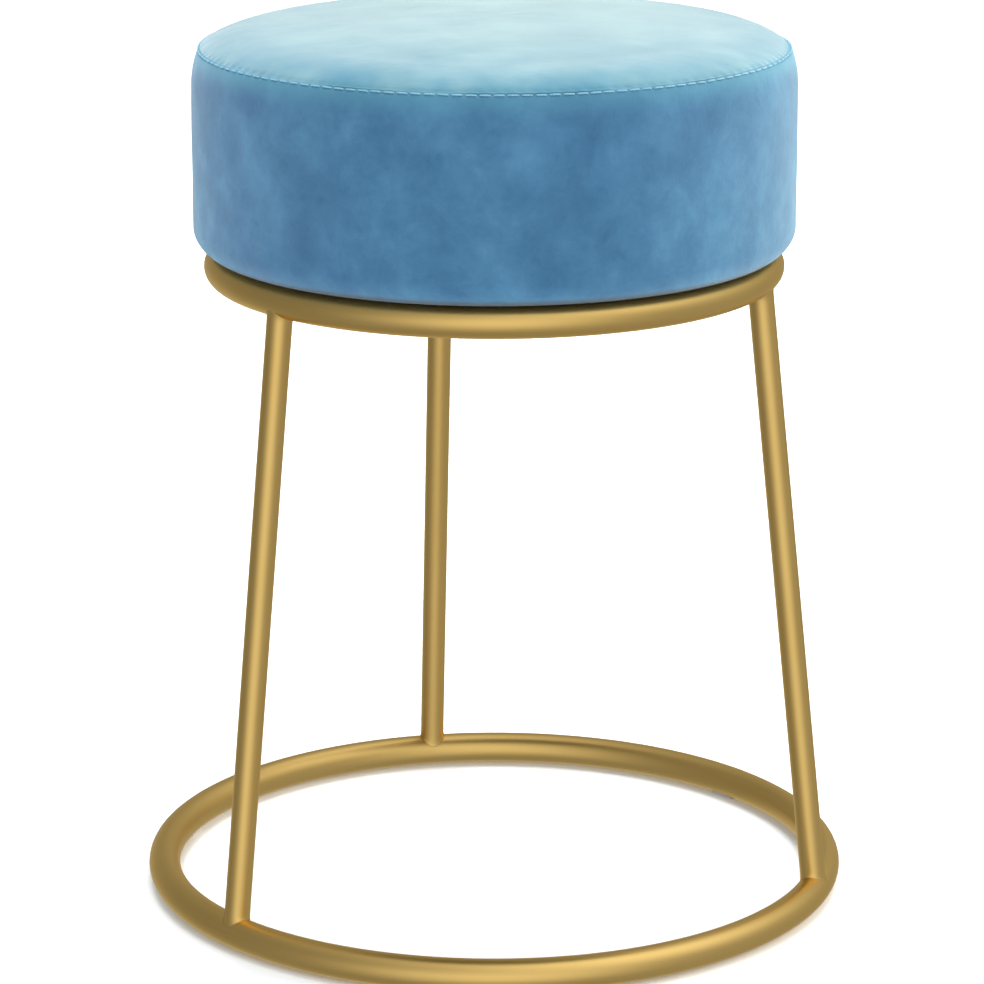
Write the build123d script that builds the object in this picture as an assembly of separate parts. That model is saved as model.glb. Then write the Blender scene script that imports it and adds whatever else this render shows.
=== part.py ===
from build123d import *
from build123d.topology import SkipClean

import math
import os

# A round upholstered stool. A deep padded seat is screwed to a welded frame of
# two tube rings joined by three splayed legs.
# Millimetres, +Z up. The origin is on the floor, at the centre of the base ring,
# and the rear leg stands towards +Y.

# Driving dimensions of the frame
overall_height = 450.0
ring_tube_diameter = 16.0
ring_tube_wall = 1.2
ring_lengths = 3
base_ring_diameter = 343.0
seat_overhang = 4.5
leg_tube_diameter = 12.7
leg_tube_wall = 1.0
vent_hole_diameter = 5.0
leg_angles = {"rear": 90.0, "front_left": 210.0, "front_right": 330.0}

# Driving dimensions of the thin pads under the base ring
pad_thickness = 0.8
pad_flat_depth = 0.2
pad_length = 14.0
pad_width = 9.0

# Driving dimensions of the seat's outer form. The side turns in to the seam over a
# shoulder, and the top rises from the seam in two arcs.
seat_diameter = 300.0
seat_depth = 118.7
lower_edge_radius = 10.0
shoulder_radius = 50.0
shoulder_angle = 70.0
seam_edge_radius = 7.0
seam_angle = 50.0
crown_edge_angle = 30.0
crown_edge_radius = 73.5
crown_angle = 6.0

# Driving dimensions of the seat's layers
cover_thickness = 1.5
wadding_thickness = 4.0
board_thickness = 15.0
dust_cover_thickness = 0.6
hem_overlap = 6.0
thread_diameter = 0.8

# Driving dimensions of the seat's fixings
between_leg_angles = {"front": 270.0, "rear_left": 150.0, "rear_right": 30.0}
screw_inset = 25.5
tab_width = 24.0
tab_thickness = 3.0
screw_diameter = 6.0
screw_length = 20.0
screw_head_diameter = 10.5
screw_head_height = 3.3
socket_across_flats = 4.0
socket_depth = 2.0
washer_diameter = 12.0
washer_thickness = 1.2
spring_washer_diameter = 10.5
spring_washer_thickness = 1.6
spring_washer_split = 1.5
tee_nut_flange_diameter = 18.0
tee_nut_flange_thickness = 1.5
tee_nut_barrel_diameter = 8.0
tee_nut_barrel_length = 9.0
prong_width = 2.5
prong_thickness = 1.2
prong_length = 6.0
prong_count = 3
staple_crown = 10.0
staple_wire = 0.7
staple_leg_length = 7.0
staples_per_gap = 7
staple_end_angle = 18.0

# Clearances
thread_clearance = 0.05
screw_hole_clearance = 0.25
dust_cover_hole_clearance = 1.0
dust_cover_clearance = 1.5

# Heights and radii that follow from the driving dimensions
ring_tube_radius = ring_tube_diameter / 2
base_ring_radius = base_ring_diameter / 2
seat_radius = seat_diameter / 2
seat_ring_radius = seat_radius - seat_overhang - ring_tube_radius
ring_bore_diameter = ring_tube_diameter - 2 * ring_tube_wall
base_ring_z = ring_tube_radius + pad_thickness - pad_flat_depth
seat_bottom_z = overall_height - seat_depth
seat_ring_z = seat_bottom_z - ring_tube_radius
board_radius = seat_radius - lower_edge_radius
board_bottom_z = seat_bottom_z + cover_thickness
board_top_z = board_bottom_z + board_thickness
dust_cover_radius = seat_ring_radius - ring_tube_radius - dust_cover_clearance
hem_inner_radius = dust_cover_radius - hem_overlap
dust_cover_bottom_z = seat_bottom_z - dust_cover_thickness
screw_circle_radius = seat_ring_radius - screw_inset
tab_top_z = dust_cover_bottom_z
tab_bottom_z = tab_top_z - tab_thickness
washer_bottom_z = tab_bottom_z - washer_thickness
spring_washer_bottom_z = washer_bottom_z - spring_washer_thickness
screw_hole_diameter = screw_diameter + 2 * screw_hole_clearance


def around(angle, radius, z=0.0):
    """A location on a circle about the stool's axis, turned so that its X points outwards."""
    return Rot(0, 0, angle) * Pos(radius, 0, z)


def on_circle(angle, radius, z):
    """The point at that angle and radius about the stool's axis."""
    turn = math.radians(angle)
    return Vector(radius * math.cos(turn), radius * math.sin(turn), z)


def rod(start, end, diameter):
    """A round bar from one point to another."""
    run = end - start
    return Solid.make_cylinder(diameter / 2, run.length, Plane(origin=start, z_dir=run))


def disc(diameter, bottom_z, top_z):
    """An upright round plate on the Z axis."""
    return Solid.make_cylinder(diameter / 2, top_z - bottom_z, Plane((0, 0, bottom_z)))


# Frame


def ring_bar(radius, z, diameter):
    """A ring of solid round bar about the stool's axis."""
    return Pos(0, 0, z) * Torus(radius, diameter / 2)


def base_ring_bar():
    """The outer form of the base ring, without its bore."""
    return ring_bar(base_ring_radius, base_ring_z, ring_tube_diameter)


def seat_ring_bar():
    """The outer form of the seat ring, without its bore."""
    return ring_bar(seat_ring_radius, seat_ring_z, ring_tube_diameter)


def leg_ends(angle):
    """The two points where a leg's axis meets the centre lines of the rings."""
    return on_circle(angle, base_ring_radius, base_ring_z), on_circle(angle, seat_ring_radius, seat_ring_z)


def vented_ring(radius, z, vents):
    """A closed ring of tube, made of bent lengths joined end to end, with vent holes cut into it.

    The joins stay in its faces, because a whole torus loses its direction when holes are cut in it.
    """
    wall = Pos(radius, 0, z) * (Rot(90, 0, 0) * (Circle(ring_tube_radius) - Circle(ring_bore_diameter / 2)))
    length = 360 / ring_lengths
    bends = [Rot(0, 0, (index + 0.25) * length) * revolve(wall, Axis.Z, length) for index in range(ring_lengths)]
    bends = [bend - vents for bend in bends]
    with SkipClean():
        return bends[0] + bends[1:]


def make_base_ring():
    """The floor ring: a closed tube with a vent hole into each leg."""
    vents = []
    for angle in leg_angles.values():
        foot, head = leg_ends(angle)
        vents.append(rod(foot, foot + (head - foot).normalized() * ring_tube_diameter, vent_hole_diameter))
    return vented_ring(base_ring_radius, base_ring_z, vents)


def make_seat_ring():
    """The ring under the seat: a closed tube with a vent hole into each leg."""
    vents = []
    for angle in leg_angles.values():
        foot, head = leg_ends(angle)
        vents.append(rod(head, head + (foot - head).normalized() * ring_tube_diameter, vent_hole_diameter))
    return vented_ring(seat_ring_radius, seat_ring_z, vents)


def make_leg(angle):
    """A straight tube whose ends are coped to sit on the two rings, where they are welded."""
    foot, head = leg_ends(angle)
    tube = rod(foot, head, leg_tube_diameter) - rod(foot, head, leg_tube_diameter - 2 * leg_tube_wall)
    return tube - base_ring_bar() - seat_ring_bar()


def make_tab(angle):
    """A flat ear with a round inner end, coped and welded to the inside of the seat ring."""
    strip = Pos((screw_circle_radius + seat_ring_radius) / 2, 0) * Rectangle(
        seat_ring_radius - screw_circle_radius, tab_width
    )
    ear = strip + Pos(screw_circle_radius, 0) * Circle(tab_width / 2)
    ear -= Pos(screw_circle_radius, 0) * Circle(screw_hole_diameter / 2)
    return around(angle, 0, tab_bottom_z) * extrude(ear, tab_thickness) - seat_ring_bar()


def make_floor_pad(angle):
    """A thin pad that wraps the underside of the base ring, with a narrow flat on the floor."""
    wrap = ring_bar(base_ring_radius, base_ring_z, ring_tube_diameter + 2 * pad_thickness) - base_ring_bar()
    footprint = around(angle, base_ring_radius, base_ring_z / 2) * Box(pad_width, pad_length, base_ring_z)
    return wrap & footprint


# Outer form of the seat


def outward(slope):
    """The outward normal of a surface whose upward run has that slope, in degrees above level."""
    lean = math.radians(slope)
    return Vector(math.sin(lean), 0, math.cos(lean))


def seat_arcs():
    """The arcs of the seat's half section, each as (centre, radius, first slope, last slope).

    They are the rounded lower edge, the shoulder, the edge that carries the seam, the crown's edge and
    the crown. Each of the upper four takes up the slope where the one before it ends.
    """
    lower_edge_centre = Vector(board_radius, 0, seat_bottom_z + lower_edge_radius)
    upper = []
    corner = Vector(seat_radius, 0, 0)
    slopes = [90.0, shoulder_angle, crown_edge_angle, crown_angle]
    radii = [shoulder_radius, seam_edge_radius, crown_edge_radius]
    for radius, first, last in zip(radii, slopes, slopes[1:]):
        centre = corner - outward(first) * radius
        upper.append((centre, radius, first, last))
        corner = centre + outward(last) * radius
    crown_radius = corner.X / outward(crown_angle).X
    crown_centre = corner - outward(crown_angle) * crown_radius
    upper.append((crown_centre, crown_radius, crown_angle, 0.0))
    lift = Vector(0, 0, overall_height - crown_centre.Z - crown_radius)
    arcs = [(lower_edge_centre, lower_edge_radius, 180.0, 90.0)]
    return arcs + [(centre + lift, radius, first, last) for centre, radius, first, last in upper]


def seat_outline(inset):
    """Half section of the seat, a distance inside its outer form, as a face on the XZ plane."""
    curves = []
    for centre, radius, first, last in seat_arcs():
        slopes = (first, (first + last) / 2, last)
        curves.append([centre + outward(slope) * (radius - inset) for slope in slopes])
    lower_edge, shoulder, crown = curves[0], curves[1], curves[-1]
    underside = Vector(0, 0, lower_edge[0].Z)
    edges = [Edge.make_three_point_arc(*points) for points in curves]
    edges.append(Edge.make_line(underside, lower_edge[0]))
    edges.append(Edge.make_line(lower_edge[-1], shoulder[0]))
    edges.append(Edge.make_line(crown[-1], underside))
    return Face(Wire(edges))


def seam_place():
    """The seam's point on the outer form, and the outward normal there."""
    centre, radius, first, last = seat_arcs()[2]
    return centre + outward(seam_angle) * radius, outward(seam_angle)


def box_section(inner_radius, outer_radius, bottom_z, top_z):
    """A rectangle on the XZ plane."""
    corners = [(inner_radius, bottom_z), (outer_radius, bottom_z), (outer_radius, top_z), (inner_radius, top_z)]
    return Face(Wire.make_polygon([(r, 0, z) for r, z in corners], close=True))


def spin(section):
    """A section on the XZ plane turned once about the stool's axis."""
    return revolve(section, Axis.Z, 360)


seam, seam_normal = seam_place()
layers_inset = cover_thickness + wadding_thickness


def above_seam():
    """The part of the XZ plane above the line that runs through the seam along its normal."""
    inner = seam - seam_normal * seam_edge_radius
    outer = seam + seam_normal * seam_edge_radius
    top_z = overall_height + seam_edge_radius
    corners = [(0, inner.Z), (inner.X, inner.Z), (outer.X, outer.Z), (outer.X, top_z), (0, top_z)]
    return Face(Wire.make_polygon([(r, 0, z) for r, z in corners], close=True))


# Seat


def make_seam_thread():
    """The line of thread sewn round the seam, half sunk in the cover."""
    return Pos(0, 0, seam.Z) * Torus(seam.X, thread_diameter / 2)


def make_cover_top_panel():
    """The crowned round panel of cover cloth above the seam."""
    cloth = seat_outline(0) - seat_outline(cover_thickness)
    return spin(cloth & above_seam()) - make_seam_thread()


def make_cover_side_band():
    """The band of cover cloth round the side, turned in under the board as a stapled hem."""
    cloth = seat_outline(0) - seat_outline(cover_thickness) - above_seam()
    cloth -= box_section(0, hem_inner_radius, 0, board_bottom_z)
    return spin(cloth) - make_seam_thread() - make_staples()


def make_wadding():
    """The soft wrap between the cover and the foam, from the crown down to the lower edge."""
    wrap = seat_outline(cover_thickness) - seat_outline(layers_inset)
    below = box_section(0, seat_diameter, 0, seat_bottom_z + max(lower_edge_radius, layers_inset))
    return spin(wrap - below - box_section(0, board_radius, 0, board_top_z))


def make_foam_core():
    """The firm foam block that carries the sitter, glued to the board."""
    return spin(seat_outline(layers_inset) - box_section(0, seat_diameter, 0, board_top_z))


def make_seat_board():
    """The plywood disc that takes the screws, the tee nuts and the staples."""
    board = disc(2 * board_radius, board_bottom_z, board_top_z)
    barrel_hole = Solid.make_cylinder(tee_nut_barrel_diameter / 2, board_thickness)
    for angle in between_leg_angles.values():
        board -= around(angle, screw_circle_radius, board_bottom_z) * barrel_hole
        board -= make_tee_nut(angle)
    return board - make_staples()


def make_dust_cover():
    """The thin cloth disc stapled under the seat, over the hem's inner edge."""
    cloth = disc(2 * dust_cover_radius, dust_cover_bottom_z, seat_bottom_z)
    hole_radius = screw_diameter / 2 + dust_cover_hole_clearance
    for angle in between_leg_angles.values():
        hole = Solid.make_cylinder(hole_radius, dust_cover_thickness)
        cloth -= around(angle, screw_circle_radius, dust_cover_bottom_z) * hole
    return cloth - make_staples()


# Fixings


def make_screw(angle):
    """A button-head socket screw, driven up through the tab into its tee nut."""
    dome_radius = screw_head_diameter / 2
    bow = (dome_radius**2 + screw_head_height**2) / (2 * screw_head_height)
    dome = Pos(0, 0, bow - screw_head_height) * Sphere(bow)
    head = dome & Pos(0, 0, -screw_head_height / 2) * Box(
        screw_head_diameter, screw_head_diameter, screw_head_height
    )
    socket = extrude(RegularPolygon(socket_across_flats / 2, 6, major_radius=False), socket_depth)
    head -= Pos(0, 0, -screw_head_height) * socket
    shank = Solid.make_cylinder(screw_diameter / 2, screw_length)
    return around(angle, screw_circle_radius, spring_washer_bottom_z) * (head + shank)


def make_washer(angle):
    """A flat washer under the tab."""
    plate = Circle(washer_diameter / 2) - Circle(screw_hole_diameter / 2)
    return around(angle, screw_circle_radius, washer_bottom_z) * extrude(plate, washer_thickness)


def make_spring_washer(angle):
    """A split washer between the flat washer and the screw's head."""
    plate = Circle(spring_washer_diameter / 2) - Circle(screw_hole_diameter / 2)
    plate -= Pos(spring_washer_diameter / 2, 0) * Rectangle(spring_washer_diameter, spring_washer_split)
    return around(angle, screw_circle_radius, spring_washer_bottom_z) * extrude(
        plate, spring_washer_thickness
    )


def make_tee_nut(angle):
    """A pronged nut pressed into the board from above, flush with its top."""
    flange = Pos(0, 0, -tee_nut_flange_thickness) * Solid.make_cylinder(
        tee_nut_flange_diameter / 2, tee_nut_flange_thickness
    )
    barrel_top = -tee_nut_flange_thickness
    barrel = Pos(0, 0, barrel_top - tee_nut_barrel_length) * Solid.make_cylinder(
        tee_nut_barrel_diameter / 2, tee_nut_barrel_length
    )
    nut = flange + barrel
    prong = Box(prong_thickness, prong_width, prong_length)
    prong_radius = (tee_nut_flange_diameter - prong_thickness) / 2 - prong_thickness
    for index in range(prong_count):
        place = around(index * 360 / prong_count, prong_radius, barrel_top - prong_length / 2)
        nut += place * prong
    bore_length = tee_nut_flange_thickness + tee_nut_barrel_length
    bore = Solid.make_cylinder(screw_diameter / 2 + thread_clearance, bore_length)
    nut -= Pos(0, 0, -bore_length) * bore
    return around(angle, screw_circle_radius, board_top_z) * nut


def staple():
    """One staple with its crown along Y, under the Z=0 plane, and its legs pointing up."""
    shape = Pos(0, 0, -staple_wire / 2) * Box(staple_wire, staple_crown, staple_wire)
    leg = Box(staple_wire, staple_wire, staple_leg_length + staple_wire)
    for side in (-1, 1):
        offset = side * (staple_crown - staple_wire) / 2
        shape += Pos(0, offset, (staple_leg_length - staple_wire) / 2) * leg
    return shape


def make_staples():
    """The staples that hold the dust cover and the hem to the board, in a row between each two tabs."""
    one = staple()
    gap = 360 / len(between_leg_angles)
    step = (gap - 2 * staple_end_angle) / (staples_per_gap - 1)
    radius = (hem_inner_radius + dust_cover_radius) / 2
    placed = []
    for tab_angle in between_leg_angles.values():
        for index in range(staples_per_gap):
            angle = tab_angle + staple_end_angle + index * step
            placed.append(around(angle, radius, dust_cover_bottom_z) * one)
    return Compound([solid for shape in placed for solid in shape.solids()])


# Assembly

pieces = {
    "base_ring": make_base_ring(),
    "seat_ring": make_seat_ring(),
    "cover_top_panel": make_cover_top_panel(),
    "cover_side_band": make_cover_side_band(),
    "seam_thread": make_seam_thread(),
    "wadding": make_wadding(),
    "foam_core": make_foam_core(),
    "seat_board": make_seat_board(),
    "dust_cover": make_dust_cover(),
    "staples": make_staples(),
}
for name, angle in leg_angles.items():
    pieces[f"leg_{name}"] = make_leg(angle)
for name, angle in between_leg_angles.items():
    pieces[f"floor_pad_{name}"] = make_floor_pad(angle)
    pieces[f"seat_tab_{name}"] = make_tab(angle)
    pieces[f"screw_{name}"] = make_screw(angle)
    pieces[f"washer_{name}"] = make_washer(angle)
    pieces[f"spring_washer_{name}"] = make_spring_washer(angle)
    pieces[f"tee_nut_{name}"] = make_tee_nut(angle)

os.makedirs("parts", exist_ok=True)
for name, shape in pieces.items():
    shape.label = name
    export_step(shape, f"parts/{name}.step")
print(f"seam at radius {seam.X:.2f} and height {seam.Z:.2f}, seat ring centre at {seat_ring_z:.2f}")
print(len(pieces), "pieces")
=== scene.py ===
import math

import bmesh
import bpy
import numpy as np
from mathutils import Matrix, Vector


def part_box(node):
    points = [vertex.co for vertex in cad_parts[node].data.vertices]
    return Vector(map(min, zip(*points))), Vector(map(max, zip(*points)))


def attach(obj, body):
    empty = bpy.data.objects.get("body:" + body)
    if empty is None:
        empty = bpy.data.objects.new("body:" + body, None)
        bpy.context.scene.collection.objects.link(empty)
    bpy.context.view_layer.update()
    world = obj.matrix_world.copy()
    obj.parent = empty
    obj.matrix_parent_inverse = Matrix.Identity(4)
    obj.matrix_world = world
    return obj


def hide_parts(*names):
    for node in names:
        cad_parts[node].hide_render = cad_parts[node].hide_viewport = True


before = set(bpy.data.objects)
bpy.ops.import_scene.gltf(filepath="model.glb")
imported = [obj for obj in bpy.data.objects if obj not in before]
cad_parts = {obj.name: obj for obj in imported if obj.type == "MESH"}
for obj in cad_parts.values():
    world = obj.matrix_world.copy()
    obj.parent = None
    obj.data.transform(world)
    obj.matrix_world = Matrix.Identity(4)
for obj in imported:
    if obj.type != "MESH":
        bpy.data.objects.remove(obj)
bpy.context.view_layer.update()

# Base ring and seat ring
# Each is a length of 16 mm steel tube, rolled to a circle and butt-welded at the back. The tube is brushed
# lengthwise and plated in a satin gold tone. The wide ring stands on the floor, the small one carries the seat.


class Wire:
    """A socket of a node tree. Sums and products of sockets add Math nodes, and node() adds any other node."""

    def __init__(self, tree, socket=None):
        self.tree = tree
        self.socket = socket

    def node(self, kind, settings=(), inputs=(), output=0):
        """Adds a node, applies its settings, then sets or links its inputs. Returns one of its outputs."""
        made = self.tree.nodes.new(kind)
        for name, value in dict(settings).items():
            if name == "stops":
                ramp = made.color_ramp
                while len(ramp.elements) < len(value):
                    ramp.elements.new(1.0)
                for element, (position, colour) in zip(ramp.elements, value):
                    element.position = position
                    element.color = colour
            else:
                setattr(made, name, value)
        for name, value in dict(inputs).items():
            if isinstance(value, Wire):
                self.tree.links.new(value.socket, made.inputs[name])
            else:
                made.inputs[name].default_value = value
        return Wire(self.tree, made.outputs[output])

    def math(self, operation, first, second):
        return self.node("ShaderNodeMath", {"operation": operation}, {0: first, 1: second})

    def __add__(self, other):
        return self.math("ADD", self, other)

    def __sub__(self, other):
        return self.math("SUBTRACT", self, other)

    def __rsub__(self, other):
        return self.math("SUBTRACT", other, self)

    def __mul__(self, other):
        return self.math("MULTIPLY", self, other)

    def __pow__(self, other):
        return self.math("POWER", self, other)

    __radd__ = __add__
    __rmul__ = __mul__

    def stretched(self, scale):
        """These coordinates times a scale for each axis."""
        return self.node("ShaderNodeMapping", {}, {"Vector": self, "Scale": scale})

    def noise(self, scale, detail=2.0, roughness=0.5, distortion=0.0):
        """Soft noise from 0 to 1 on these coordinates, with about that many grains in a metre."""
        sockets = {
            "Vector": self,
            "Scale": scale,
            "Detail": detail,
            "Roughness": roughness,
            "Distortion": distortion,
        }
        return self.node("ShaderNodeTexNoise", {}, sockets, "Fac")

    def axis(self, name):
        """One of these coordinates: X, Y or Z."""
        return self.node("ShaderNodeSeparateXYZ", {}, {0: self}, name)

    def vector(self, operation, second=(0.0, 0.0, 0.0), output="Vector"):
        """A vector operation on these coordinates. LENGTH and DOT_PRODUCT give their result in Value."""
        return self.node("ShaderNodeVectorMath", {"operation": operation}, {0: self, 1: second}, output)

    def progress(self, start, end, pace="LINEAR"):
        """How far this value has come from start to end, from 0 to 1."""
        limits = {"Value": self, "From Min": start, "From Max": end}
        return self.node("ShaderNodeMapRange", {"interpolation_type": pace}, limits)

    def between(self, low, high):
        """A colour that runs from low to high as this value runs from 0 to 1."""
        return self.node("ShaderNodeMix", {"data_type": "RGBA"}, {0: self, 6: low, 7: high}, 2)

    def bump(self, strength, distance):
        """A normal whose surface rises by the distance as this value runs from 0 to 1."""
        return self.node("ShaderNodeBump", {}, {"Strength": strength, "Distance": distance, "Height": self})

    def into(self, shader, name):
        self.tree.links.new(self.socket, shader.inputs[name])


def colour(red, green, blue):
    """A colour given as it looks on a screen, from 0 to 255, as the linear values that a shader takes."""
    shares = np.array([red, green, blue]) / 255
    linear = np.where(shares <= 0.04045, shares / 12.92, ((shares + 0.055) / 1.055) ** 2.4)
    return (*linear.tolist(), 1.0)


def new_finish(name, constants):
    """A new material: (material, its Principled shader with those constants, object coordinates in metres)."""
    material = bpy.data.materials.new(name)
    material.use_nodes = True
    shader = material.node_tree.nodes["Principled BSDF"]
    for socket, value in constants.items():
        shader.inputs[socket].default_value = value
    place = Wire(material.node_tree).node("ShaderNodeTexCoord", output="Object")
    return material, shader, place


def skin(name, grid, uv=None):
    """A mesh object over one grid of points or a stack of them, shaped (..., rows, columns, 3).

    Each four neighbours make a face. Points that fall together are merged, which closes the seams where a
    surface comes round to itself and the poles where a row shrinks to a point. uv is shaped like the grid.
    """
    rows, columns = grid.shape[-3:-1]
    first = np.arange(grid.size // 3).reshape(-1, rows, columns)
    corners = [first[:, :-1, :-1], first[:, :-1, 1:], first[:, 1:, 1:], first[:, 1:, :-1]]
    faces = np.stack(corners, axis=-1).reshape(-1, 4)
    mesh = bpy.data.meshes.new(name)
    mesh.from_pydata(grid.reshape(-1, 3).tolist(), [], faces.tolist())
    if uv is not None:
        layer = mesh.uv_layers.new(name="lay")
        layer.data.foreach_set("uv", uv.reshape(-1, 2)[faces.ravel()].astype(np.float32).ravel())
    work = bmesh.new()
    work.from_mesh(mesh)
    bmesh.ops.remove_doubles(work, verts=work.verts, dist=1e-6)
    bmesh.ops.dissolve_degenerate(work, edges=work.edges, dist=1e-7)
    bmesh.ops.recalc_face_normals(work, faces=work.faces)
    work.to_mesh(mesh)
    work.free()
    mesh.polygons.foreach_set("use_smooth", np.ones(len(mesh.polygons), dtype=bool))
    piece = bpy.data.objects.new(name, mesh)
    bpy.context.scene.collection.objects.link(piece)
    return piece


def dress(piece, material, slot, *nodes):
    """Gives a new piece its material, makes it ride on the stool and stand for those CAD nodes. slot is not
    used.
    """
    piece.data.materials.append(material)
    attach(piece, "root")
    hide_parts(*nodes)
    return piece


gold_light = colour(232, 199, 126)
gold_deep = colour(220, 183, 104)
gold_edge = (0.95, 0.86, 0.64, 1.0)
gold, gold_shader, gold_place = new_finish("satin_gold", {"Metallic": 1.0, "Specular Tint": gold_edge})
gold_run = gold_place.node("ShaderNodeUVMap", {"uv_map": "lay"})
gold_brushing = gold_run.stretched((9.0, 1600.0, 1.0)).noise(1.0, detail=3.0)
gold_cloud = gold_place.noise(16.0, detail=2.0)
(0.5 * gold_brushing + 0.5 * gold_cloud).between(gold_deep, gold_light).into(gold_shader, "Base Color")
(0.2 * gold_brushing + 0.28).into(gold_shader, "Roughness")
gold_brushing.bump(0.12, 0.0002).into(gold_shader, "Normal")

ring_steps = 288
tube_steps = 40


def tube_ring(name, node):
    """A closed ring of tube: a circle carried once round the upright axis, where the CAD ring is.

    The point at angles a round the axis and b round the tube is at radius R + r cos b and height r sin b
    above the middle. The surface starts at the back, where the weld is. Returns (R, middle, r).
    """
    low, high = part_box(node)
    tube = (high.z - low.z) / 2
    radius = (high.y - low.y) / 2 - tube
    middle = (low.z + high.z) / 2
    turn = np.linspace(0.5 * math.pi, 2.5 * math.pi, ring_steps + 1)[:, None]
    around = np.linspace(0.0, 2.0 * math.pi, tube_steps + 1)[None, :]
    reach = radius + tube * np.cos(around)
    height = middle + tube * np.sin(around) + 0.0 * turn
    uv = np.stack([radius * turn + 0.0 * around, tube * around + 0.0 * turn], axis=-1)
    piece = skin(name, np.stack([reach * np.cos(turn), reach * np.sin(turn), height], axis=-1), uv)
    dress(piece, gold, "gold_metal", node)
    return radius, middle, tube


base_ring = tube_ring("base_ring_tube", "base_ring")
seat_ring = tube_ring("seat_ring_tube", "seat_ring")

# Legs
# Three straight lengths of 12.7 mm tube that lean inwards. Each end is coped to sit on its ring and welded
# with a small ground fillet, then finished together with the rings.

leg_radius = 0.00635
leg_rows = 24
fillet = 0.0005
fillet_run = 0.0012
fillet_rows = fillet_run * np.array([0.0, 0.35, 0.8, 1.4, 2.2, 3.5, 6.0])
leg_angles = {"rear": 90.0, "front_left": 210.0, "front_right": 330.0}


def ring_point(ring, turn):
    """The point on a ring's centre line at an angle round the upright axis."""
    radius, height, _ = ring
    return np.array([radius * math.cos(turn), radius * math.sin(turn), height])


def along_to_ring(start, step, ring, guess, rounds=12):
    """How far along each of many lines, start + t step, its point on the ring's tube lies.

    Newton's method closes in on t from a guess, in a number of rounds.
    """
    radius, height, tube = ring
    t = np.full(len(start), guess)
    for _ in range(rounds):
        point = start + t[:, None] * step
        out = np.hypot(point[:, 0], point[:, 1])
        miss = (out - radius) ** 2 + (point[:, 2] - height) ** 2 - tube**2
        out_rate = (point[:, 0] * step[0] + point[:, 1] * step[1]) / out
        rate = 2 * (out - radius) * out_rate + 2 * (point[:, 2] - height) * step[2]
        t = t - miss / rate
    return t


def leg_tube(place, angle):
    """A round tube between the two rings' centre lines, whose ends follow the rings' surfaces.

    The tube swells by the fillet next to each end, falling off with distance. Its first and last rows
    shrink to its axis inside the rings, which closes it.
    """
    turn = math.radians(angle)
    foot, head = ring_point(base_ring, turn), ring_point(seat_ring, turn)
    base_tube, seat_tube = base_ring[-1], seat_ring[-1]
    length = np.linalg.norm(head - foot)
    axis = (head - foot) / length
    side = np.cross(axis, [-math.sin(turn), math.cos(turn), 0.0])
    around = np.linspace(0.0, 2.0 * math.pi, tube_steps + 1)
    out = np.cos(around)[:, None] * side + np.sin(around)[:, None] * np.cross(axis, side)
    wall = foot + (leg_radius + fillet) * out
    lowest = along_to_ring(wall, axis, base_ring, base_tube)
    highest = along_to_ring(wall, axis, seat_ring, length - seat_tube)
    middle = np.linspace(0.03, 0.97, leg_rows)[:, None] * (highest - lowest) + lowest
    along = np.concatenate([lowest + fillet_rows[:, None], middle, highest - fillet_rows[::-1, None]])
    from_end = np.minimum(along - lowest, highest - along)
    radius = leg_radius + fillet * np.exp(-from_end / fillet_run)
    body = foot + along[..., None] * axis + radius[..., None] * out
    ends = [np.broadcast_to(end, (1, len(around), 3)) for end in (foot, head)]
    uv = np.stack([along, np.broadcast_to(leg_radius * around, along.shape)], axis=-1)
    grid = np.concatenate([ends[0], body, ends[1]])
    piece = skin(f"leg_tube_{place}", grid, np.concatenate([uv[:1], uv, uv[-1:]]))
    dress(piece, gold, "gold_metal", f"leg_{place}")


for place, angle in leg_angles.items():
    leg_tube(place, angle)

# Floor pads
# Thin pads of milky clear rubber, stuck to the underside of the base ring between the legs. They keep the
# metal off the floor.

rubber, rubber_shader, rubber_place = new_finish("clear_rubber", {"Specular IOR Level": 0.4})
rubber_haze = rubber_place.noise(300.0, detail=3.0)
rubber_haze.between(colour(186, 180, 166), colour(212, 206, 194)).into(rubber_shader, "Base Color")
(0.2 * rubber_haze + 0.4).into(rubber_shader, "Roughness")
between_legs = ("front", "rear_left", "rear_right")


def repaint(node, material):
    """Gives a CAD node that keeps its own shape a better material."""
    node_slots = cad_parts[node].data.materials
    node_slots.clear()
    node_slots.append(material)


for place in between_legs:
    repaint(f"floor_pad_{place}", rubber)

# Seat tabs and their screws
# Flat ears of 3 mm steel, cut with a round end and welded inside the seat ring, gold like the ring. A
# zinc-plated button-head screw with a flat and a spring washer goes up through each ear into the seat.

tab_gold, tab_shader, tab_place = new_finish("gold_sheet", {"Metallic": 1.0, "Specular Tint": gold_edge})
tab_brushing = tab_place.stretched((900.0, 30.0, 900.0)).noise(1.0, detail=3.0)
tab_brushing.between(gold_deep, gold_light).into(tab_shader, "Base Color")
(0.2 * tab_brushing + 0.28).into(tab_shader, "Roughness")
zinc, zinc_shader, zinc_place = new_finish("zinc_plate", {"Metallic": 1.0, "IOR": 1.5})
zinc_spangle = zinc_place.noise(700.0, detail=4.0, roughness=0.6)
zinc_spangle.between(colour(150, 153, 158), colour(198, 200, 202)).into(zinc_shader, "Base Color")
(0.25 * zinc_spangle + 0.22).into(zinc_shader, "Roughness")
for place in between_legs:
    repaint(f"seat_tab_{place}", tab_gold)
    for fixing in ("screw", "washer", "spring_washer", "tee_nut"):
        repaint(f"{fixing}_{place}", zinc)

# Seat board
# A disc of 15 mm birch plywood inside the seat. The tee nuts are pressed into its top, and the cover's hem
# is stapled to its underside.

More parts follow.
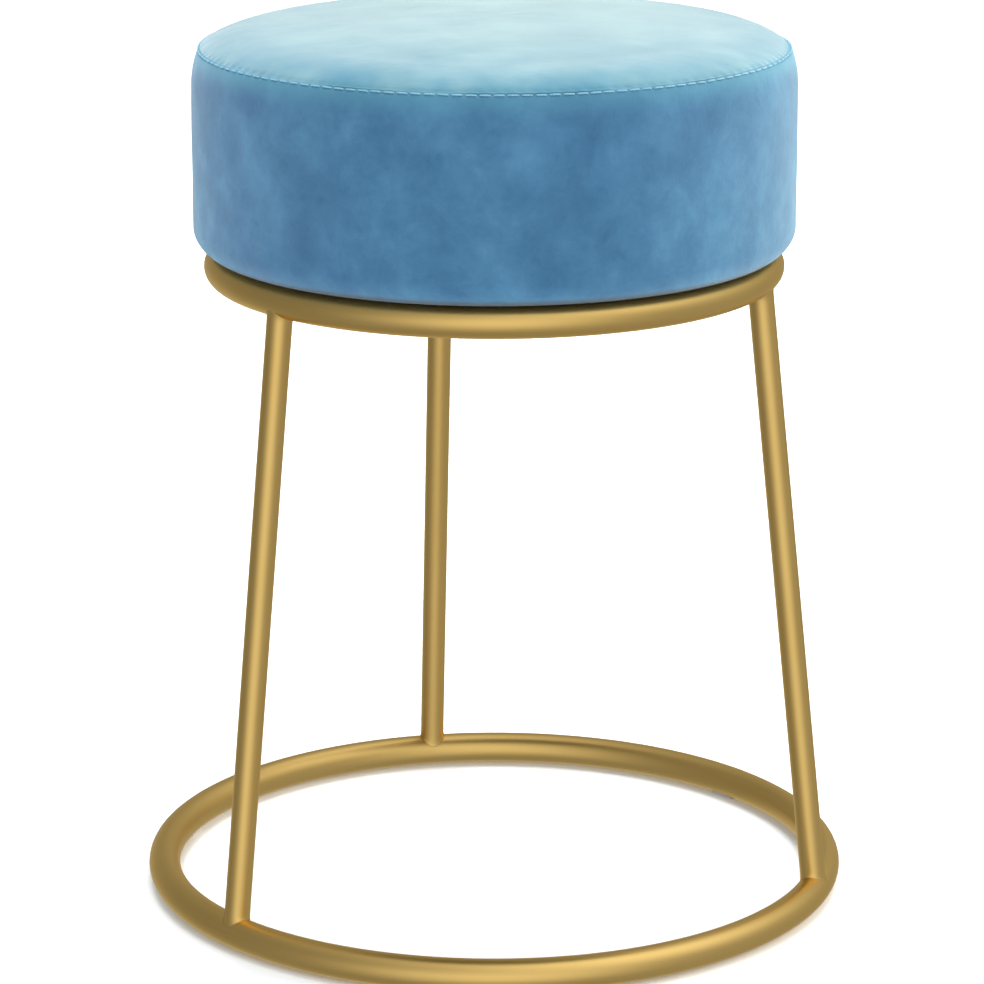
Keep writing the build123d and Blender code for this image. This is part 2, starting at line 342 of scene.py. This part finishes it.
plywood, plywood_shader, plywood_place = new_finish("birch_plywood", {"Specular IOR Level": 0.3})
plywood_grain = plywood_place.stretched((14.0, 180.0, 420.0)).noise(1.0, detail=5.0, distortion=0.6)
plywood_grain.between(colour(186, 148, 103), colour(226, 197, 152)).into(plywood_shader, "Base Color")
(0.25 * plywood_grain + 0.55).into(plywood_shader, "Roughness")
plywood_grain.bump(0.2, 0.0003).into(plywood_shader, "Normal")
repaint("seat_board", plywood)

# Foam core
# A block of firm cream foam, cut round and crowned, glued on the board. It gives the seat its shape, so the
# seat's half section is worked out here, and the wadding and the cover follow it.

band_low, band_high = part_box("cover_side_band")
seat_radius = (band_high.y - band_low.y) / 2
seat_bottom = band_low.z
seat_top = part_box("cover_top_panel")[1].z
lower_edge_radius = 0.0125
shoulder_radius = 0.050
seam_edge_radius = 0.007
crown_edge_radius = 0.0735
shoulder_angle = 70.0
seam_angle = 50.0
crown_edge_angle = 30.0
crown_angle = 6.0
crown_settle = 0.0021
settle_run = 0.034
edge_rows = 8
crown_rows = 12


def outward(slope):
    """The outward direction (r, z) of a surface whose upward run has that slope, in degrees above level."""
    lean = np.radians(slope)
    return np.stack([np.sin(lean), np.cos(lean)], axis=-1)


def seat_arcs():
    """The arcs of the seat's half section, each as (centre, radius).

    They are the lower edge, the shoulder, the seam edge, the crown edge and the crown. Each of the last three
    starts where the one before it ends, with the same slope, and the crown ends on the axis.
    """
    centres = [np.array([seat_radius - lower_edge_radius, seat_bottom + lower_edge_radius])]
    radii = [lower_edge_radius, shoulder_radius, seam_edge_radius, crown_edge_radius]
    slopes = [90.0, shoulder_angle, crown_edge_angle, crown_angle]
    corner = np.array([seat_radius, 0.0])
    for radius, first, last in zip(radii[1:], slopes, slopes[1:]):
        centres.append(corner - radius * outward(first))
        corner = centres[-1] + radius * outward(last)
    radii.append(corner[0] / outward(crown_angle)[0])
    centres.append(corner - radii[-1] * outward(crown_angle))
    lift = np.array([0.0, seat_top - centres[-1][1] - radii[-1]])
    centres[1:] = [centre + lift for centre in centres[1:]]
    return list(zip(centres, radii))


lower_edge, shoulder, seam_edge, crown_edge, crown = seat_arcs()


def on_arc(arc, slopes, inset=0.0):
    """Points (r, z) on one of the seat's arcs at those slopes, a distance inside the seat's outer form."""
    centre, radius = arc
    return centre + (radius - inset) * outward(np.asarray(slopes))


def turned(section, turn):
    """A section of points (r, z) carried round the upright axis, as a grid with a row for each point."""
    out, up = section[:, None, 0], section[:, None, 1]
    return np.stack([out * np.cos(turn), out * np.sin(turn), up + 0.0 * turn], axis=-1)


def crown_section(inset, edge_points, crown_points):
    """The seat's section from the crown edge to the crown's centre, a distance inside the outer form.

    The tight cover presses the foam, so the crown settles below its arcs, by nothing at its edge and by more
    further in.
    """
    section = np.concatenate([
        on_arc(crown_edge, np.linspace(crown_edge_angle, crown_angle, edge_points), inset),
        on_arc(crown, np.linspace(crown_angle, 0.0, crown_points)[1:], inset),
    ])
    inwards = np.clip((section[0, 0] - section[:, 0]) / settle_run, 0.0, 1.0)
    section[:, 1] -= crown_settle * inwards**2 * (3.0 - 2.0 * inwards)
    return section


def upper_section(inset, bottom):
    """The seat's section from a height on its side to the crown's centre, a distance inside the outer form."""
    return np.concatenate([
        [[seat_radius - inset, bottom]],
        on_arc(shoulder, np.linspace(90.0, shoulder_angle, edge_rows), inset),
        on_arc(seam_edge, np.linspace(shoulder_angle, crown_edge_angle, edge_rows)[1:-1], inset),
        crown_section(inset, crown_rows, crown_rows),
    ])


foam, foam_shader, foam_place = new_finish("cream_foam", {"Specular IOR Level": 0.2})
foam_cells = foam_place.noise(900.0, detail=3.0, roughness=0.7)
foam_cells.between(colour(214, 196, 148), colour(243, 231, 196)).into(foam_shader, "Base Color")
(0.15 * foam_cells + 0.8).into(foam_shader, "Roughness")
foam_cells.bump(0.6, 0.0006).into(foam_shader, "Normal")
foam_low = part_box("foam_core")[0].z
cover_thickness = 0.0015
wadding_thickness = 0.004
layers = cover_thickness + wadding_thickness
coarse_turn = np.linspace(0.0, 2.0 * math.pi, 145)
foam_section = np.concatenate([[[0.0, foam_low]], upper_section(layers, foam_low)])
foam_block = skin("foam_block", turned(foam_section, coarse_turn))
dress(foam_block, foam, "foam", "foam_core")

# Wadding
# A layer of white polyester wadding wrapped over the foam and down its side. It softens the edge under the
# velvet.

wadding, wadding_shader, wadding_place = new_finish("white_wadding", {"Specular IOR Level": 0.2})
wadding_fluff = wadding_place.noise(260.0, detail=5.0, roughness=0.7)
wadding_fluff.between(colour(226, 226, 222), colour(248, 248, 246)).into(wadding_shader, "Base Color")
(0.1 * wadding_fluff + 0.85).into(wadding_shader, "Roughness")
wadding_fluff.bump(0.8, 0.0012).into(wadding_shader, "Normal")
wadding_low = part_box("wadding")[0].z
layer_gap = 0.0002
wadding_outside = upper_section(cover_thickness + layer_gap, wadding_low)
wadding_inside = upper_section(layers - layer_gap, wadding_low)
wadding_section = np.concatenate([wadding_inside[::-1], wadding_outside])
wadding_wrap = skin("wadding_wrap", turned(wadding_section, coarse_turn))
dress(wadding_wrap, wadding, "wadding", "wadding")

# Velvet cover
# A round top panel and a side band of dusty blue velvet with a short brushed pile, sewn together right side
# to right side. The band is closed by a plain seam at the back, pulled down over the board and stapled.

pile = 0.0004
lip = 0.0006
allowance = 0.0028
stitch_count = 141
stitch_slope = 57.0
stitch_depth = 0.0006
stitch_groove = 0.0009
closing_angle = math.radians(90.0)
closing_width = 0.0022
closing_depth = 0.0009
fine_turn = np.linspace(0.0, 2.0 * math.pi, 4 * stitch_count + 1)
closing_turn = closing_angle + closing_width / seat_radius * np.linspace(-3.0, 3.0, 25)
fine_turn = np.unique(np.concatenate([fine_turn, closing_turn]))


def swell(turn, along, waves, size, seed):
    """A soft uneven swelling: a sum of waves with whole counts round the seat and random counts along it."""
    chance = np.random.default_rng(seed)
    total = np.zeros(np.broadcast(turn, along).shape)
    for count in waves:
        tilt = chance.uniform(-1.0, 1.0)
        phase = chance.uniform(0.0, 2.0 * math.pi)
        weight = chance.uniform(0.5, 1.0)
        total += weight * np.cos(count * turn + tilt * count * along / seat_radius + phase)
    return size * total / len(waves)


def stitch_pull(turn):
    """How hard the topstitching pulls on the cloth: 1 at each needle hole and less between two holes."""
    return 0.55 + 0.45 * np.cos(stitch_count * turn)


def cloth_grid(section, outside, turn, rise):
    """A closed section of cloth carried round the axis, with its outer points moved outwards by rise.

    The section's first points are the outside, from one edge to the other. rise has a row for each of them.
    """
    grid = turned(section, turn)
    run = np.gradient(section[:outside], axis=0)
    run /= np.linalg.norm(run, axis=1, keepdims=True)
    out, up = run[:, None, 1], -run[:, None, 0]
    push = np.stack([out * np.cos(turn), out * np.sin(turn), up + 0.0 * turn], axis=-1)
    grid[:outside] += rise[..., None] * push
    return grid


def along_of(section):
    """The distance along a section from its first point to each point, in a column."""
    steps = np.linalg.norm(np.diff(section, axis=0), axis=1)
    return np.concatenate([[0.0], np.cumsum(steps)])[:, None]


def lip_section(way):
    """The rounded lip where a panel turns in at the seam: a small arc from the seam edge to the seam's line."""
    line = outward(seam_angle)
    across = np.array([-line[1], line[0]]) * way
    seam = on_arc(seam_edge, seam_angle)
    bend = np.linspace(0.0, 0.5 * math.pi, edge_rows)[1:, None]
    centre = seam - lip * line + lip * across
    arc = centre + lip * (np.cos(bend) * line - np.sin(bend) * across)
    return np.concatenate([arc, [seam - allowance * line]])


lip_lean = math.degrees(lip / seam_edge_radius)
seam_height = on_arc(seam_edge, seam_angle)[1]
side_low = seat_bottom + lower_edge_radius
side_high = on_arc(shoulder, 90.0)[1]
hem_inner = 0.122
bend_rows = 14
side_rows = 34
hem_run = np.linspace(hem_inner, seat_radius - lower_edge_radius, edge_rows)
side_run = np.linspace(side_low, side_high, side_rows)[1:-1]
band_outside = np.concatenate([
    np.stack([hem_run, np.full(len(hem_run), seat_bottom)], axis=-1),
    on_arc(lower_edge, np.linspace(180.0, 90.0, bend_rows)[1:]),
    np.stack([np.full(len(side_run), seat_radius), side_run], axis=-1),
    on_arc(shoulder, np.linspace(90.0, shoulder_angle, bend_rows)),
    on_arc(seam_edge, np.linspace(shoulder_angle, seam_angle + lip_lean, edge_rows)[1:]),
    lip_section(-1.0),
])
band_inside = np.concatenate([
    np.stack([hem_run, np.full(len(hem_run), seat_bottom + cover_thickness)], axis=-1),
    on_arc(lower_edge, np.linspace(180.0, 90.0, bend_rows)[1:], cover_thickness),
    np.stack([np.full(len(side_run), seat_radius - cover_thickness), side_run], axis=-1),
    on_arc(shoulder, np.linspace(90.0, shoulder_angle, bend_rows), cover_thickness),
    on_arc(seam_edge, np.linspace(shoulder_angle, seam_angle + 2.0 * lip_lean, 4)[1:], cover_thickness),
])
band_section = np.concatenate([band_outside, band_inside[::-1], band_outside[:1]])
band_along = along_of(band_outside)
side_share = np.clip((band_outside[:, 1:] - seat_bottom) / lower_edge_radius, 0.0, 1.0)
from_stitch = np.linalg.norm(band_outside - on_arc(seam_edge, stitch_slope), axis=1)
stitch_along = band_along[np.argmin(from_stitch)]
stitch_dip = np.exp(-((band_along - stitch_along) / stitch_groove) ** 2)
closing_dip = np.exp(-(((fine_turn - closing_angle) * seat_radius) / closing_width) ** 2)


def band_swell(turn, along):
    """How far the band stands out from the plain form: its pile, broad swellings and small ones."""
    broad = swell(turn, along, waves=(2, 3, 5, 8, 11), size=0.0006, seed=3)
    small = swell(turn, along, waves=(17, 23, 31, 41), size=0.0002, seed=4)
    return pile + broad + small


band_rise = side_share * (band_swell(fine_turn, band_along) - closing_depth * closing_dip)
band_rise -= stitch_depth * stitch_dip * stitch_pull(fine_turn)
velvet_band = skin("velvet_band", cloth_grid(band_section, len(band_outside), fine_turn, band_rise))

panel_edge_rows = 20
panel_crown_rows = 36
panel_outside = np.concatenate([
    crown_section(0.0, panel_edge_rows, panel_crown_rows)[::-1],
    on_arc(seam_edge, np.linspace(crown_edge_angle, seam_angle - lip_lean, edge_rows)[1:]),
    lip_section(1.0),
])
panel_inside = np.concatenate([
    crown_section(cover_thickness, panel_edge_rows, panel_crown_rows)[::-1],
    on_arc(seam_edge, np.linspace(crown_edge_angle, seam_angle - 2.0 * lip_lean, 4)[1:], cover_thickness),
])
panel_section = np.concatenate([panel_outside, panel_inside[::-1]])
panel_along = along_of(panel_outside)
to_seam = panel_along[-1] - panel_along
calm_middle = 0.02
pucker_run = 0.012
ridge_height = 0.0004
ridge_place = 0.004
ridge_width = 0.0012
panel_share = np.clip(panel_outside[:, :1] / calm_middle, 0.0, 1.0)
panel_swell = swell(fine_turn, panel_along, waves=(2, 3, 4, 7), size=0.0005, seed=5)
panel_pucker = swell(fine_turn, panel_along, waves=(29, 37, 43, 53, 61), size=0.0003, seed=6)
panel_pucker *= np.exp(-to_seam / pucker_run)
panel_ridge = ridge_height * np.exp(-(((to_seam - ridge_place) / ridge_width) ** 2))
panel_rise = panel_ridge * stitch_pull(fine_turn) - panel_share * (panel_swell + panel_pucker)
velvet_panel = skin("velvet_panel", cloth_grid(panel_section, len(panel_outside), fine_turn, panel_rise))


def velvet_finish(name, tones, sheen, sheen_spread, sheen_tint, cloudy, ragged):
    """Short-pile velvet: (material, shader, object coordinates, blue).

    Clouds, stroked patches and pile grain choose between a dark, a middle and a light blue, and the odd
    smudge is darker still. The patches lean the pile a little, so the sheen is uneven too. cloudy is the
    clouds' share of the pattern, and ragged is how broken the patches are.
    """
    material, shader, place = new_finish(name, {
        "Specular IOR Level": 0.15,
        "Sheen Weight": sheen,
        "Sheen Roughness": sheen_spread,
        "Sheen Tint": sheen_tint,
    })
    clouds = place.noise(14.0, detail=2.0, roughness=0.5, distortion=0.2)
    patches = place.noise(42.0, detail=4.0, roughness=ragged, distortion=0.2)
    smudges = place.noise(120.0, detail=2.0, roughness=0.5)
    grain = place.noise(1400.0, detail=2.0, roughness=0.7)
    dark_spots = smudges.progress(0.6, 0.76)
    grain_share = 0.08
    patch_share = 1.0 - grain_share - cloudy
    tone = cloudy * clouds + patch_share * patches + grain_share * grain - 0.06 * dark_spots
    dark, middle, light = tones
    stops = ((0.3, dark), (0.49, middle), (0.7, light))
    blue = tone.node("ShaderNodeValToRGB", {"stops": stops}, {0: tone})
    (0.15 * patches + 0.75).into(shader, "Roughness")
    (0.25 * grain + 0.75 * patches).bump(0.5, 0.0016).into(shader, "Normal")
    return material, shader, place, blue


band_tones = (colour(49, 95, 131), colour(66, 116, 150), colour(85, 139, 172))
band_velvet, band_shader, band_place, band_blue = velvet_finish(
    "blue_velvet_side", band_tones, sheen=0.45, sheen_spread=0.47, sheen_tint=(0.72, 0.9, 0.98, 1.0),
    cloudy=0.34, ragged=0.62)
band_across = band_place.axis("X")
band_height = band_place.axis("Z")

# The pile is smudged in clusters. The smudges are painted stronger at the left and right than in front, as a
# painted sheen at the sides, and a faint lilac tint of painted light lies on the left.
band_smudges = band_place.noise(75.0, detail=3.0, roughness=0.6).progress(0.44, 0.66)
band_clusters = band_place.noise(18.0, detail=1.0).progress(0.36, 0.54)
# Painted sheen: the smudges grow stronger towards the left and right, on top of the real smudging.
smudge_and_sheen_share = 10.0 * band_across * band_across + 0.3
band_smudged_and_sheen = (smudge_and_sheen_share * band_smudges * band_clusters).between(band_blue, colour(50, 97, 135))
# Painted light: a faint lilac tint on the left side of the band.
painted_left_light = band_place.noise(8.0, detail=2.0) * 1.6 - 0.5 - 1.8 * band_across
painted_left_light_share = 0.09 * painted_left_light.progress(0.0, 1.0)
band_left_lit = painted_left_light_share.between(band_smudged_and_sheen, colour(108, 112, 176))

# Just below the seam the band is painted paler, a painted highlight of the light from above on its shoulder,
# stronger at the left and right as painted sheen. Where the band turns under, towards the frame, it is painted
# dark brown as painted shade.
painted_sheen_share = 16.0 * band_across * band_across + 0.5
painted_seam_sheen = band_height.progress(seam_height - 0.013, seam_height + 0.002, "SMOOTHSTEP")
band_seam_sheen = (painted_sheen_share * painted_seam_sheen).between(band_left_lit, colour(94, 157, 177))
# Painted shade: the band's underside towards the frame is painted dark brown, brown like the gold below it.
painted_shade_under = band_height.progress(seat_bottom + 0.005, seat_bottom + 0.001, "SMOOTHSTEP")
(0.75 * painted_shade_under).between(band_seam_sheen, colour(62, 44, 26)).into(band_shader, "Base Color")

# The top panel's tones are painted lighter and paler than the band's, though both are the same velvet: a
# painted highlight for the light that falls on the top.
panel_lit_tones = (colour(91, 135, 149), colour(116, 156, 165), colour(145, 179, 183))
panel_velvet, panel_shader, panel_place, panel_blue = velvet_finish(
    "blue_velvet_top", panel_lit_tones, sheen=1.0, sheen_spread=0.4, sheen_tint=(0.88, 0.97, 0.98, 1.0),
    cloudy=0.46, ragged=0.5)

# The panel is painted bluer and darker towards its edge, in uneven strokes: partly the pile pulled down to the
# seam, partly painted shade where the top turns down and catches less sheen.
panel_reach = panel_place.vector("MULTIPLY", (1.0, 1.0, 0.0)).vector("LENGTH", output="Value")
panel_edge = panel_reach.progress(0.055, 0.155, "SMOOTHSTEP")
panel_strokes = panel_place.noise(36.0, detail=3.0).progress(0.36, 0.66)
panel_rim_and_shade = panel_edge * (0.45 * panel_strokes + 0.35)
panel_rim_and_shade.between(panel_blue, colour(58, 128, 156)).into(panel_shader, "Base Color")
dress(velvet_band, band_velvet, "velvet", "cover_side_band")
dress(velvet_panel, panel_velvet, "velvet", "cover_top_panel")

# Topstitching
# A row of pale blue stitches of twisted polyester thread just below the seam, sewn through the band and the
# turned-in edges. Each stitch lies on the velvet and dives into it at both ends.

thread_radius = 0.00037
stitch_reach = 0.94
stitch_lift = 0.0002
stitch_dive = 0.0010
lift_spread = 0.00006
slant_range = (-0.00012, 0.00002)
stitch_chance = np.random.default_rng(8)
stitch_seat = on_arc(seam_edge, stitch_slope)
stitch_out = outward(stitch_slope)
stitch_up = np.array([-stitch_out[1], stitch_out[0]])
stitch_run = np.linspace(-1.0, 1.0, 9)
middles = (np.arange(stitch_count) + 0.5) * 2.0 * math.pi / stitch_count
turns = middles[:, None] + stitch_run * stitch_reach * math.pi / stitch_count
uneven = stitch_chance.uniform(-lift_spread, lift_spread, (stitch_count, 1))
lift = stitch_lift - stitch_dive * stitch_run**6 + uneven + band_swell(turns, stitch_along)
slant = stitch_chance.uniform(*slant_range, (stitch_count, 1)) * stitch_run
centre_out = stitch_seat[0] + stitch_out[0] * lift + stitch_up[0] * slant
centre_up = stitch_seat[1] + stitch_out[1] * lift + stitch_up[1] * slant
ply = np.linspace(0.0, 2.0 * math.pi, 9)
thick = thread_radius * np.sqrt(np.clip(1.0 - stitch_run**6, 0.0, 1.0))[None, :, None]
round_out = stitch_out[0] * np.cos(ply) + stitch_up[0] * np.sin(ply)
round_up = stitch_out[1] * np.cos(ply) + stitch_up[1] * np.sin(ply)
thread_out = centre_out[..., None] + thick * round_out
thread_up = centre_up[..., None] + thick * round_up
thread_grid = np.stack([
    thread_out * np.cos(turns)[..., None], thread_out * np.sin(turns)[..., None], thread_up,
], axis=-1)
thread_uv = np.stack(np.broadcast_arrays(turns[..., None] * stitch_seat[0], thread_radius * ply), axis=-1)
stitches = skin("topstitching", thread_grid, thread_uv)
thread, thread_shader, thread_place = new_finish("pale_thread", {
    "Specular IOR Level": 0.4,
    "Sheen Weight": 0.3,
})
thread_lay = thread_place.node("ShaderNodeUVMap", {"uv_map": "lay"})
thread_twist = thread_lay.node(
    "ShaderNodeTexWave", {"bands_direction": "DIAGONAL"}, {"Vector": thread_lay, "Scale": 420.0}, "Fac")
thread_twist.between(colour(116, 170, 196), colour(146, 198, 216)).into(thread_shader, "Base Color")
(0.2 * thread_twist + 0.45).into(thread_shader, "Roughness")
thread_twist.bump(0.5, 0.0002).into(thread_shader, "Normal")
dress(stitches, thread, "thread", "seam_thread")

# Dust cover
# A disc of thin black non-woven cloth with an embossed grid of dots. It is stapled over the hem's inner
# edge and sags a little in the middle.

dust_low, dust_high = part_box("dust_cover")
dust_radius = (dust_high.y - dust_low.y) / 2
dust_sag = 0.0012
sag_reach = 0.096
dust_out = dust_radius * np.linspace(0.0, 1.0, 34)
sag = dust_sag * np.clip(1.0 - (dust_out / sag_reach) ** 2, 0.0, 1.0) ** 2
dust_under = np.stack([dust_out, dust_low.z - sag], axis=-1)
dust_over = np.stack([dust_out, dust_high.z - sag], axis=-1)
dust_section = np.concatenate([dust_under, dust_over[::-1]])
dust_sheet = skin("dust_cover_cloth", turned(dust_section, coarse_turn))
black_cloth, black_shader, black_place = new_finish("black_cloth", {"Specular IOR Level": 0.25})
dot_sockets = {"Vector": black_place, "Scale": 620.0, "Randomness": 0.05}
dots = black_place.node("ShaderNodeTexVoronoi", {"voronoi_dimensions": "2D"}, dot_sockets)
black_fibre = black_place.noise(1500.0, detail=3.0)
black_fibre.between(colour(22, 22, 23), colour(46, 46, 48)).into(black_shader, "Base Color")
(0.2 * black_fibre + 0.7).into(black_shader, "Roughness")
(0.7 * dots + 0.3 * black_fibre).bump(0.5, 0.0004).into(black_shader, "Normal")
dress(dust_sheet, black_cloth, "black_cloth", "dust_cover")

# Staples
# Fine zinc-plated wire staples that hold the hem and the dust cover to the board, in a row between each two
# tabs.

repaint("staples", zinc)

# Floor, light and camera
# A plain pale floor in soft studio light: a broad lamp overhead, a broad key from the front, a fill on each
# side and an even surround. The camera stands where the photograph was taken from.

floor_half = 8.0
floor_corners = floor_half * np.array([[-1.0, -1.0, 0.0], [1.0, -1.0, 0.0], [1.0, 1.0, 0.0], [-1.0, 1.0, 0.0]])
floor_mesh = bpy.data.meshes.new("floor")
floor_mesh.from_pydata(floor_corners.tolist(), [], [(0, 1, 2, 3)])
floor = bpy.data.objects.new("floor", floor_mesh)
bpy.context.scene.collection.objects.link(floor)
floor_paint, floor_shader, floor_place = new_finish("pale_floor", {
    "Specular IOR Level": 0.0,
    "Roughness": 1.0,
    "Emission Strength": 1.0,
})
floor_place.noise(3.0).between(colour(250, 250, 250), colour(252, 252, 252)).into(floor_shader, "Base Color")
floor_far = floor_place.vector("LENGTH", output="Value").progress(0.6, 3.0)
near_glow = (0.08, 0.08, 0.08, 1.0)
far_glow = (0.4, 0.4, 0.4, 1.0)
floor_far.between(near_glow, far_glow).into(floor_shader, "Emission Color")
floor_mesh.materials.append(floor_paint)
floor.visible_glossy = False


def lamp(name, place, target, size, power, tint=(1.0, 1.0, 1.0)):
    """A square soft lamp at a place, turned to a target."""
    data = bpy.data.lights.new(name, "AREA")
    data.size = size
    data.energy = power
    data.color = tint
    made = bpy.data.objects.new(name, data)
    made.location = place
    aim = np.array(target) - np.array(place)
    flat = math.hypot(aim[0], aim[1])
    made.rotation_euler = (math.atan2(flat, -aim[2]), 0.0, math.atan2(-aim[0], aim[1]))
    made.visible_glossy = False
    bpy.context.scene.collection.objects.link(made)


warm = (1.0, 0.89, 0.72)
cool = (0.8, 0.95, 1.0)
lamp("lamp_above", place=(0.2, 0.7, 2.4), target=(0.0, 0.0, 0.38), size=2.0, power=54.0)
lamp("lamp_key", place=(0.7, -2.4, 1.5), target=(0.0, 0.0, 0.25), size=1.6, power=10.2)
lamp("lamp_right", place=(2.1, 0.3, 0.9), target=(0.0, 0.0, 0.3), size=1.2, power=29.0, tint=warm)
lamp("lamp_left", place=(-1.7, 1.3, 0.8), target=(0.0, 0.0, 0.3), size=1.2, power=6.5, tint=cool)

surround = bpy.data.worlds.new("surround")
surround.use_nodes = True
bpy.context.scene.world = surround
backdrop = surround.node_tree.nodes["Background"]
rays = Wire(surround.node_tree)
heading = rays.node("ShaderNodeTexCoord", output="Generated")


def towards(direction):
    """How far the surround's direction points along a vector, or 0 where it points away."""
    along = heading.vector("DOT_PRODUCT", direction, "Value")
    return along.math("MAXIMUM", along, 0.0)


# The cloth is lit by a plain sky, and the metal mirrors a softbox in front, one above and one low behind.
sky_light = 1.15 * towards((0.24, 0.0, 0.97)) + 0.11
sky_tint = towards((-1.0, 0.0, 0.0)).between((1.0, 1.0, 1.0, 1.0), (0.8, 1.05, 1.25, 1.0))
sky = sky_tint.node("ShaderNodeVectorMath", {"operation": "SCALE"}, {0: sky_tint, "Scale": sky_light})
mirrored_front = 0.92 * towards((-0.2, -0.978, 0.06)) ** 3.8
mirrored_above = 1.2 * towards((0.4, -0.15, 0.9)) ** 4.0
mirrored_behind = 0.5 * towards((0.0, 0.9, -0.43)) ** 6.0
mirrored_round = 0.14 * towards((1.0, 0.0, 0.0)) + 0.06 * towards((0.0, 0.0, -1.0)) + 0.27
mirrored = mirrored_front + mirrored_above + mirrored_behind + mirrored_round
glossy = rays.node("ShaderNodeLightPath", output="Is Glossy Ray")
seen = rays.node("ShaderNodeLightPath", output="Is Camera Ray")
seen.between(glossy.between(sky, mirrored), (1.0, 1.0, 1.0, 1.0)).into(backdrop, "Color")
backdrop.inputs["Strength"].default_value = 1.0

view_data = bpy.data.cameras.new("camera")
view_data.lens = 150.56
view_data.sensor_width = 36.0
view_data.shift_x = -0.0023
camera = bpy.data.objects.new("camera", view_data)
camera.location = (-0.4134, -1.9824, 0.7521)
camera.rotation_euler = (0.5 * math.pi - 0.2646, 0.0, -0.2056)
bpy.context.scene.collection.objects.link(camera)
bpy.context.scene.camera = camera
bpy.context.scene.view_settings.view_transform = "Standard"
